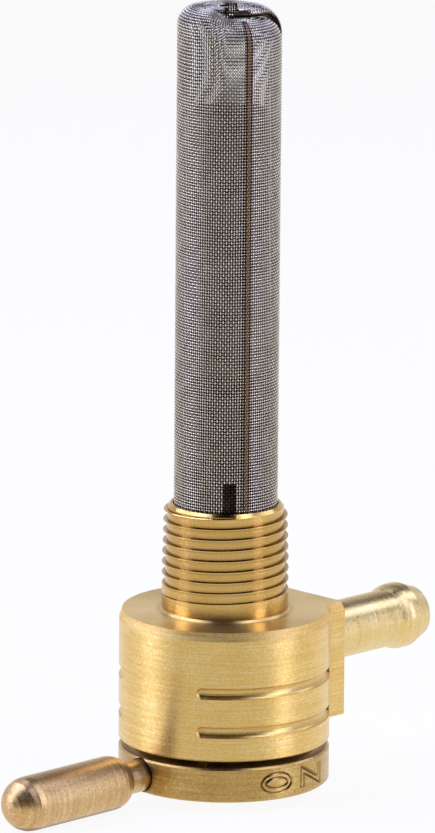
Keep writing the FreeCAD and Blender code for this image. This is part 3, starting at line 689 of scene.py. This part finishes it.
# Painted shade on the wires in front of the dark reserve slot
SLOT_SHADE_TOP = SPIGOT_TOP + 4.27 * MM
SLOT_SHADE_LEFT = -0.5 * MM
SLOT_SHADE_RIGHT = 1.5 * MM
SLOT_SHADE_SHARE = 0.35
SEAM_ANGLE = math.radians(-113.0)
SEAM_WIDTH = 1.2 * MM
SEAM_FIRST_ROW = 5
SEAM_TOP_SHARE = 0.8
SEAM_CRESTS = (0.1, 0.4, 1.0, 0.4, 0.1)
SEAM_LOW_ROW_SHARE = 0.45
SEAM_LIFT = 0.02 * MM
SEAM_CREST_RISE = 0.08 * MM
SEAM_BACK_DROP = 0.16 * MM
WIRE_MIDDLE = SCREEN_RADIUS - WIRE_RADIUS - WEAVE_LIFT
UNDER_TOP = screen_high.z - FOLD_STEP
SIDE_VECTOR = Vector((math.cos(FOLD_ANGLE), math.sin(FOLD_ANGLE), 0.0))
FRONT_VECTOR = Vector((math.sin(FOLD_ANGLE), -math.cos(FOLD_ANGLE), 0.0))
SLEEVE_FOOT = screen_low.z + WEFT_PITCH


def smooth(share):
    """A share from 0 to 1, eased at both ends."""
    share = min(1.0, max(0.0, share))
    return share * share * (3 - 2 * share)


def fold_front(side):
    """How far in front of the axis the fold's edge lies, at a distance to the side of it."""
    for (side_a, front_a), (side_b, front_b) in zip(FOLD_LINE, FOLD_LINE[1:]):
        if side < side_b * MM or (side_b, front_b) == FOLD_LINE[-1]:
            share = (side / MM - side_a) / (side_b - side_a)
            return (front_a + (front_b - front_a) * share) * MM


def rise_share(point):
    """How much of the fold's step the sleeve is raised by: all behind the fold's edge, none in front of it."""
    side, front = point.dot(SIDE_VECTOR), point.dot(FRONT_VECTOR)
    if side > FOLD_SIDE:
        in_crease = side < FOLD_SIDE + CREASE_WIDTH and front > CREASE_BACK
        return 0.0 if in_crease or front > fold_front(side) else 1.0
    return max(smooth((FOLD_SIDE - side) / DOME_BLEND), smooth((CREASE_FRONT - front) / CREASE_WIDTH))


def unshaded_share(point):
    """1 for wire in the open, less where painted shade darkens it: in front of the reserve slot, in the crease
    and under the fold.
    """
    side, front = point.dot(SIDE_VECTOR), point.dot(FRONT_VECTOR)
    if point.z < SLOT_SHADE_TOP and front > 0 and SLOT_SHADE_LEFT < side < SLOT_SHADE_RIGHT:
        return SLOT_SHADE_SHARE
    if not FOLD_SIDE - CREASE_MARGIN < side < ROLL_END or point.z < UNDER_TOP - SHOULDER_RADIUS:
        return 1.0
    in_crease = side < FOLD_SIDE + CREASE_WIDTH + CREASE_MARGIN / 2 and CREASE_BACK < front < CREASE_FRONT
    tucked = side > FOLD_SIDE and 0 < front - fold_front(side) < TUCK_REACH
    return 0.0 if in_crease or tucked else 1.0


def sleeve_point(turn, length, share=None):
    """A point on the sleeve's middle surface and its outward direction, at an arc length up from the foot."""
    outward = Vector((math.cos(turn), math.sin(turn), 0.0))
    shoulder = SHOULDER_RADIUS + SHOULDER_SLOPE * outward.dot(SIDE_VECTOR)
    arc_radius = shoulder - WIRE_RADIUS - WEAVE_LIFT
    side = UNDER_TOP - shoulder - SLEEVE_FOOT
    arc = arc_radius * math.pi / 2
    centre = WIRE_MIDDLE - arc_radius
    if length <= side:
        raised = FOLD_STEP * (rise_share(outward * WIRE_MIDDLE) if share is None else share)
        height = SLEEVE_FOOT + length + raised * smooth(1 - (side - length) / FOLD_BLEND)
        return outward * WIRE_MIDDLE + Vector((0, 0, height)), outward
    if length <= side + arc:
        bend = (length - side) / arc_radius
        normal = outward * math.cos(bend) + Vector((0, 0, math.sin(bend)))
        flat = outward * (centre + arc_radius * math.cos(bend))
        height = UNDER_TOP - shoulder + arc_radius * math.sin(bend)
    else:
        normal = Vector((0, 0, 1))
        flat = outward * (centre - (length - side - arc))
        height = UNDER_TOP - shoulder + arc_radius
    raised = FOLD_STEP * (rise_share(flat) if share is None else share)
    return flat + Vector((0, 0, height + raised)), normal


CROWN_ARC = (SHOULDER_RADIUS - WIRE_RADIUS - WEAVE_LIFT) * math.pi / 2
SIDE_LENGTH = UNDER_TOP - SHOULDER_RADIUS - SLEEVE_FOOT
CROWN_LENGTH = SIDE_LENGTH + CROWN_ARC
SLEEVE_LENGTH = CROWN_LENGTH + WIRE_MIDDLE - SHOULDER_RADIUS - CROWN_HOLE
ROWS = [row * WEFT_PITCH for row in range(int(SLEEVE_LENGTH / WEFT_PITCH) + 1)]


def wire_lines(paths, name):
    """An object of plain lines, one for each wire, that keeps each point's lift and how it stands out."""
    mesh = bpy.data.meshes.new(name)
    points, edges, lifts, crests = [], [], [], []
    for closed, cells in paths:
        start = len(points)
        for point, normal, sign in cells:
            points.append(point)
            lifts.append(normal * sign)
            # Painted shade: a wire that dips under its neighbour, or lies in a shaded place, gets a low crest and
            # so a dark colour
            crests.append(unshaded_share(point) * (sign + 1) / 2)
        last = len(points) - 1
        edges.extend((i, i + 1) for i in range(start, last))
        if closed:
            edges.append((last, start))
    mesh.from_pydata(points, edges, [])
    lift = mesh.attributes.new("lift", "FLOAT_VECTOR", "POINT")
    lift.data.foreach_set("vector", [c for v in lifts for c in v])
    mark_crests(mesh, crests)
    return add_object(name, mesh)


def weave_tree():
    """Geometry Nodes: lifts each point over or under its neighbour and sweeps a wire along the lines."""
    tree = node_group("woven wires", {"Geometry": "Geometry", "Wire radius": "Float", "Lift": "Float",
                                      "Sides": "Int", "Material": "Material"})
    given = add(tree, "NodeGroupInput").outputs
    stored = add(tree, "GeometryNodeInputNamedAttribute", {"data_type": "FLOAT_VECTOR"}, {"Name": "lift"})
    move = add(tree, "ShaderNodeVectorMath", {"operation": "SCALE"},
               {0: stored.outputs["Attribute"], "Scale": given["Lift"]})
    lifted = add(tree, "GeometryNodeSetPosition",
                 inputs={"Geometry": given["Geometry"], "Offset": move.outputs["Vector"]})
    wires = add(tree, "GeometryNodeMeshToCurve", inputs={"Mesh": lifted.outputs["Geometry"]})
    section = add(tree, "GeometryNodeCurvePrimitiveCircle",
                  inputs={"Resolution": given["Sides"], "Radius": given["Wire radius"]})
    sweep(tree, wires.outputs["Curve"], section.outputs["Curve"], given["Material"])
    return tree


def split_runs(cells):
    """Runs of neighbouring points from a list with gaps, as separate wires."""
    runs, run = [], []
    for cell in cells + [None]:
        if cell is not None:
            run.append(cell)
            continue
        if len(run) > 1:
            runs.append(run)
        run = []
    return runs


def parts_at_step(run):
    """Breaks a wire where it would jump between the two layers of the fold."""
    parts, part = [], [run[0]]
    for cell in run[1:]:
        last = part[-1][0]
        if (cell[0] - last).length > LAYER_JUMP or abs(cell[0].z - last.z) > LAYER_RISE:
            parts.append(part)
            part = [cell]
        else:
            part.append(cell)
    parts.append(part)
    return [p for p in parts if len(p) > 1]


def woven_point(column, row):
    """The point where a warp and a weft wire cross, and the sleeve's outward direction there."""
    return sleeve_point(2 * math.pi * column / WARP_COUNT, ROWS[row])


def strainer_paths():
    """Warp wires up the sleeve and over the crown, and weft wires round it."""
    warp, weft = [], []
    for column in range(WARP_COUNT):
        cells = []
        for row in range(len(ROWS)):
            past_shoulder = ROWS[row] - CROWN_LENGTH
            if past_shoulder > HALF_WARP_FROM and column % 2 or past_shoulder > QUARTER_WARP_FROM and column % 4:
                cells.append(None)
                continue
            cells.append((*woven_point(column, row), 1 if (column + row) % 2 else -1))
        for run in split_runs(cells):
            warp.extend((False, part) for part in parts_at_step(run))
    for row in range(len(ROWS)):
        ring = [(*woven_point(column, row), -1 if (column + row) % 2 else 1) for column in range(WARP_COUNT)]
        parts = parts_at_step(ring + ring[:1])
        if len(parts) == 1:
            weft.append((True, ring))
        else:
            weft.extend((False, part) for part in parts)
    return warp, weft


weave = weave_tree()
weave_values = {"Wire radius": WIRE_RADIUS, "Lift": WEAVE_LIFT, "Sides": WIRE_SIDES, "Material": WOVEN_STEEL}
warp_paths, weft_paths = strainer_paths()
for wires_name, paths in (("warp_wires", warp_paths), ("weft_wires", weft_paths)):
    wires = from_tree(wires_name, weave, weave_values, wire_lines(paths, wires_name))
    settle(wires, "body", "woven_steel", "filter_screen")


def seam_strip():
    """The welded lap of the weave: a narrow band that follows the sleeve, pressed in small steps."""
    columns = len(SEAM_CRESTS) - 1
    end = SIDE_LENGTH + CROWN_ARC * SEAM_TOP_SHARE
    lengths = [row for row in ROWS[SEAM_FIRST_ROW:] if row < end]
    outer, inner, crests = [], [], []
    for number, length in enumerate(lengths):
        for column in range(columns + 1):
            turn = SEAM_ANGLE + (column / columns - 0.5) * SEAM_WIDTH / SCREEN_RADIUS
            point, normal = sleeve_point(turn, length, 0.0)
            # The crest raises the weave and brightens its colour as a painted highlight; the lower rows and the
            # back face are painted darker
            crest = SEAM_CRESTS[column] * (1.0 if number % 2 else SEAM_LOW_ROW_SHARE)
            outer.append(point + normal * (WEAVE_LIFT + SEAM_LIFT + SEAM_CREST_RISE * crest))
            inner.append(point - normal * SEAM_BACK_DROP)
            crests.append(crest)
    first = len(outer)
    width = columns + 1
    faces = []
    for row in range(len(lengths) - 1):
        for column in range(columns):
            a = row * width + column
            b, c, d = a + 1, a + 1 + width, a + width
            faces.append((a, b, c, d))
            faces.append((first + d, first + c, first + b, first + a))
        for a in (row * width, row * width + columns):
            faces.append((a, a + width, first + a + width, first + a))
    for row in (0, len(lengths) - 1):
        for column in range(columns):
            a = row * width + column
            faces.append((a, a + 1, first + a + 1, first + a))
    piece = mesh_object("seam_strip", outer + inner, faces, SEAM_STEEL, 60)
    mark_crests(piece.data, crests + [0.0] * len(inner))
    return piece


settle(seam_strip(), "body", "woven_steel")


def cap_height(side, front):
    """The upper layer's height over a point of the plan."""
    reach = math.hypot(side, front)
    shoulder = SHOULDER_RADIUS + SHOULDER_SLOPE * side / max(reach, MM)
    arc_radius = shoulder - WIRE_RADIUS - WEAVE_LIFT
    beyond = min(0.999, max(0.0, (reach - (WIRE_MIDDLE - arc_radius)) / arc_radius))
    return screen_high.z - shoulder + arc_radius * math.sqrt(1 - beyond * beyond)


def rolled_edge():
    """The fold's front edge: the weave rolled back under itself, along the fold's line, thinner to its end."""
    start = FOLD_SIDE + CREASE_WIDTH * ROLL_START_SHARE
    centres, radii = [], []
    for step in range(ROLL_STEPS + 1):
        share = step / ROLL_STEPS
        radius = ROLL_RADIUS * (1 - ROLL_THINNING * share ** 3)
        side = start + (ROLL_END - start) * share
        front = fold_front(side) - radius
        centres.append(SIDE_VECTOR * side + FRONT_VECTOR * front
                       + Vector((0, 0, cap_height(side, front) - radius)))
        radii.append(radius)
    vertices, crests = [], []
    for step, point in enumerate(centres):
        along = (centres[min(step + 1, ROLL_STEPS)] - centres[max(step - 1, 0)]).normalized()
        out = along.cross(Vector((0, 0, 1))).normalized()
        if out.dot(FRONT_VECTOR) < 0:
            out = -out
        for k in range(ROLL_SIDES):
            turn = 2 * math.pi * k / ROLL_SIDES
            # Painted shade: the crest is low on the roll's lower side, so the wire colour is darker there; the
            # crest also swells the roll a little
            crest = (step + k) % 2 * smooth(ROLL_CREST_SHARE + ROLL_CREST_TILT * math.sin(turn))
            rise = Vector((0, 0, math.sin(turn)))
            vertices.append(point + (out * math.cos(turn) + rise) * radii[step] * (1 + ROLL_CREST_RISE * crest))
            crests.append(crest)
    faces = ring_faces(ROLL_STEPS + 1, ROLL_SIDES)
    faces.append(tuple(range(ROLL_SIDES)))
    faces.append(tuple(ROLL_STEPS * ROLL_SIDES + k for k in range(ROLL_SIDES)))
    piece = mesh_object("rolled_fold_edge", vertices, faces, WOVEN_STEEL, 60)
    mark_crests(piece.data, crests)
    return piece


settle(rolled_edge(), "body", "woven_steel")

WELD_RADIUS = 0.95 * MM
WELD_HEIGHT = 0.16 * MM
WELD_SIDE = 2.1 * MM
WELD_BACK = 1.6 * MM
WELD_BELOW_TOP = 0.02 * MM
WELD_ROOT = 0.3 * MM
WELD_RINGS = 6
WELD_SIDES = 20


def spot_weld():
    """A flattened spot weld, uneven at its rim, that holds the folded crown shut."""
    centre = (SIDE_VECTOR * WELD_SIDE - FRONT_VECTOR * WELD_BACK
              + Vector((0, 0, screen_high.z - WELD_HEIGHT - WELD_BELOW_TOP)))
    vertices = []
    for level in range(WELD_RINGS):
        share = level / WELD_RINGS
        bend = share * math.pi / 2
        for k in range(WELD_SIDES):
            turn = 2 * math.pi * k / WELD_SIDES
            wobble = 1 + 0.06 * math.sin(3 * turn + 1) + 0.04 * math.sin(7 * turn)
            reach = WELD_RADIUS * wobble * math.cos(bend)
            vertices.append(centre + Vector((reach * math.cos(turn), reach * math.sin(turn),
                                             WELD_HEIGHT * math.sin(bend) * (0.75 + 0.25 * share))))
    vertices.append(centre + Vector((0, 0, WELD_HEIGHT * 0.9)))
    vertices.append(centre - Vector((0, 0, WELD_ROOT)))
    faces = ring_faces(WELD_RINGS, WELD_SIDES)
    last, top, bottom = (WELD_RINGS - 1) * WELD_SIDES, WELD_RINGS * WELD_SIDES, WELD_RINGS * WELD_SIDES + 1
    for k in range(WELD_SIDES):
        n = (k + 1) % WELD_SIDES
        faces.append((last + k, last + n, top))
        faces.append((n, k, bottom))
    return mesh_object("crown_spot_weld", vertices, faces, WELD_STEEL, 50)


settle(spot_weld(), "body", "woven_steel")


# CAD nodes that stay get their finish

FINISHES = {
    "outlet_barb": BARB_BRASS, "lever_handle": LEVER_BRONZE, "screen_stem": STEM_BRASS, "pickup_tube": TUBE_BRASS,
    "tube_seal_ring": BLACK_RUBBER, "hub_o_ring": BLACK_RUBBER, "port_gasket": GASKET_RUBBER,
    "valve_rotor": ROTOR_PLASTIC, "gasket_pin_left": PIN_STEEL, "gasket_pin_right": PIN_STEEL,
    "stop_pin": PIN_STEEL, "drive_pin_left": PIN_STEEL, "drive_pin_right": PIN_STEEL, "detent_ball": PIN_STEEL,
    "snap_ring": SPRING_STEEL, "disc_spring": SPRING_STEEL, "detent_spring": SPRING_STEEL,
}
for node, material in FINISHES.items():
    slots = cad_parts[node].data.materials
    slots.clear()
    slots.append(material)


# Floor and room

FLOOR_SIZE = 4.0
FLOOR_GLOW = 0.92
CAMERA_AZIMUTH = math.radians(-45.5)
WHITE = (1, 1, 1, 1)
# The room's brightness by height, from level to straight up, and by depth, from behind the tap to the camera
ROOM_BY_HEIGHT = [(0.35, "#e8e8e8"), (0.58, "#7a766e"), (0.76, "#2a2622"), (0.94, "#1a1714")]
ROOM_BY_DEPTH = [(0.0, "#ffffff"), (0.5, "#e8e8e8"), (0.62, "#7a7672"), (0.75, "#45403a")]

floor_mesh = bpy.data.meshes.new("floor")
floor_mesh.from_pydata([(x * FLOOR_SIZE, y * FLOOR_SIZE, cad_bounds[0].z) for x, y in
                        ((-1, -1), (1, -1), (1, 1), (-1, 1))], [], [(0, 1, 2, 3)])
floor = add_object("floor", floor_mesh)


def seen_directly(tree):
    """1 for rays from the camera, mirrors and glass, 0 for rays that light the object."""
    rays = add(tree, "ShaderNodeLightPath").outputs
    first = calc(tree, "MAXIMUM", rays["Is Camera Ray"], rays["Is Glossy Ray"])
    return calc(tree, "MAXIMUM", first, rays["Is Transmission Ray"])


def floor_paper():
    """White seamless paper: it glows to the camera and keeps a faint shadow."""
    material, tree, shader = new_material("white_seamless_paper")
    feed(tree, shader, {"Base Color": linear("#f4f4f4"), "Roughness": 0.9, "Specular IOR Level": 0.1})
    glow = add(tree, "ShaderNodeEmission", inputs={"Color": WHITE, "Strength": 1.0})
    mixed = add(tree, "ShaderNodeMixShader", inputs={0: calc(tree, "MULTIPLY", seen_directly(tree), FLOOR_GLOW),
                                                     1: shader.outputs[0], 2: glow.outputs[0]})
    tree.links.new(mixed.outputs[0], tree.nodes["Material Output"].inputs["Surface"])
    return material


floor_mesh.materials.append(floor_paper())


def studio_world():
    """A white room, dim overhead and on the camera's side for the metal: plain white to the camera itself."""
    world = bpy.data.worlds.new("studio")
    SCENE.world = world
    world.use_nodes = True
    tree = world.node_tree
    tree.nodes.clear()
    direction = add(tree, "ShaderNodeTexCoord").outputs["Generated"]
    height = add(tree, "ShaderNodeSeparateXYZ", inputs={0: direction}).outputs["Z"]
    studio_front = (math.sin(CAMERA_AZIMUTH), -math.cos(CAMERA_AZIMUTH), 0.0)
    towards = vectors(tree, "DOT_PRODUCT", direction, studio_front, result="Value")
    depth = stretch(tree, towards, -1.0, 1.0)
    room = tint(tree, 1.0, tone_ramp(tree, height, ROOM_BY_HEIGHT), tone_ramp(tree, depth, ROOM_BY_DEPTH),
                "MULTIPLY")
    to_camera = add(tree, "ShaderNodeLightPath").outputs["Is Camera Ray"]
    background = add(tree, "ShaderNodeBackground",
                     inputs={"Color": tint(tree, to_camera, room, WHITE), "Strength": 1.0})
    output = add(tree, "ShaderNodeOutputWorld")
    tree.links.new(background.outputs[0], output.inputs["Surface"])


studio_world()


# Camera

CAMERA_ELEVATION = math.radians(12.9)
CAMERA_ROLL = math.radians(0.46)
CAMERA_DISTANCE = 1.2
CAMERA_TARGET_Z = 26.57 * MM
CAMERA_TARGET_SIDE = -1.2 * MM
CAMERA_NEAR = 0.1
CAMERA_FAR = 20.0
SENSOR_WIDTH_MM = 36.0
PICTURE_WIDTH = 435
FOCAL_PIXELS = 8911

flat_right = Vector((math.cos(CAMERA_AZIMUTH), math.sin(CAMERA_AZIMUTH), 0))
back = Vector((math.sin(CAMERA_AZIMUTH) * math.cos(CAMERA_ELEVATION),
               -math.cos(CAMERA_AZIMUTH) * math.cos(CAMERA_ELEVATION), math.sin(CAMERA_ELEVATION)))
flat_up = back.cross(flat_right)
right = flat_right * math.cos(CAMERA_ROLL) + flat_up * math.sin(CAMERA_ROLL)
up = back.cross(right)
target = flat_right * CAMERA_TARGET_SIDE + Vector((0, 0, CAMERA_TARGET_Z))


def looking(position, x_axis, y_axis, z_axis):
    """A placement from a position and three axes."""
    turned_axes = Matrix((x_axis, y_axis, z_axis)).transposed().to_4x4()
    return Matrix.Translation(position) @ turned_axes


camera = add_object("camera", bpy.data.cameras.new("camera"))
camera.data.sensor_fit = "HORIZONTAL"
camera.data.sensor_width = SENSOR_WIDTH_MM
camera.data.lens = FOCAL_PIXELS / PICTURE_WIDTH * camera.data.sensor_width
camera.data.clip_start = CAMERA_NEAR
camera.data.clip_end = CAMERA_FAR
camera.matrix_world = looking(target + back * CAMERA_DISTANCE, right, up, back)
SCENE.camera = camera


# Lamps

LAMP_COLOUR = (0.85, 0.93, 1.4)
LAMP_AIM = Vector((0, 0, 30 * MM))
LAMP_DISTANCE = 0.6
# Degrees round from the camera, elevation, width, height, radiance
SOFTBOXES = {
    "left_softbox": (-86, 30, 0.28, 1.15, 3.2), "right_softbox": (68, 30, 0.22, 1.15, 3.6),
    "back_left_softbox": (-125, 50, 0.22, 0.5, 3.0), "back_right_softbox": (120, 50, 0.22, 0.5, 2.4),
}


def softbox(name, degrees_from_camera, elevation, width, height, radiance):
    """A soft lamp that faces the tap, placed by its angle round from the camera."""
    turn = CAMERA_AZIMUTH - math.pi / 2 + math.radians(degrees_from_camera)
    rise = math.radians(elevation)
    away = Vector((math.cos(turn) * math.cos(rise), math.sin(turn) * math.cos(rise), math.sin(rise)))
    data = bpy.data.lights.new(name, "AREA")
    data.shape = "RECTANGLE"
    data.size = width
    data.size_y = height
    data.energy = radiance * math.pi * width * height
    data.color = LAMP_COLOUR
    side = Vector((0, 0, 1)).cross(away).normalized()
    add_object(name, data).matrix_world = looking(LAMP_AIM + away * LAMP_DISTANCE, side, away.cross(side), away)


for name, values in SOFTBOXES.items():
    softbox(name, *values)

SCENE.view_settings.view_transform = "Standard"
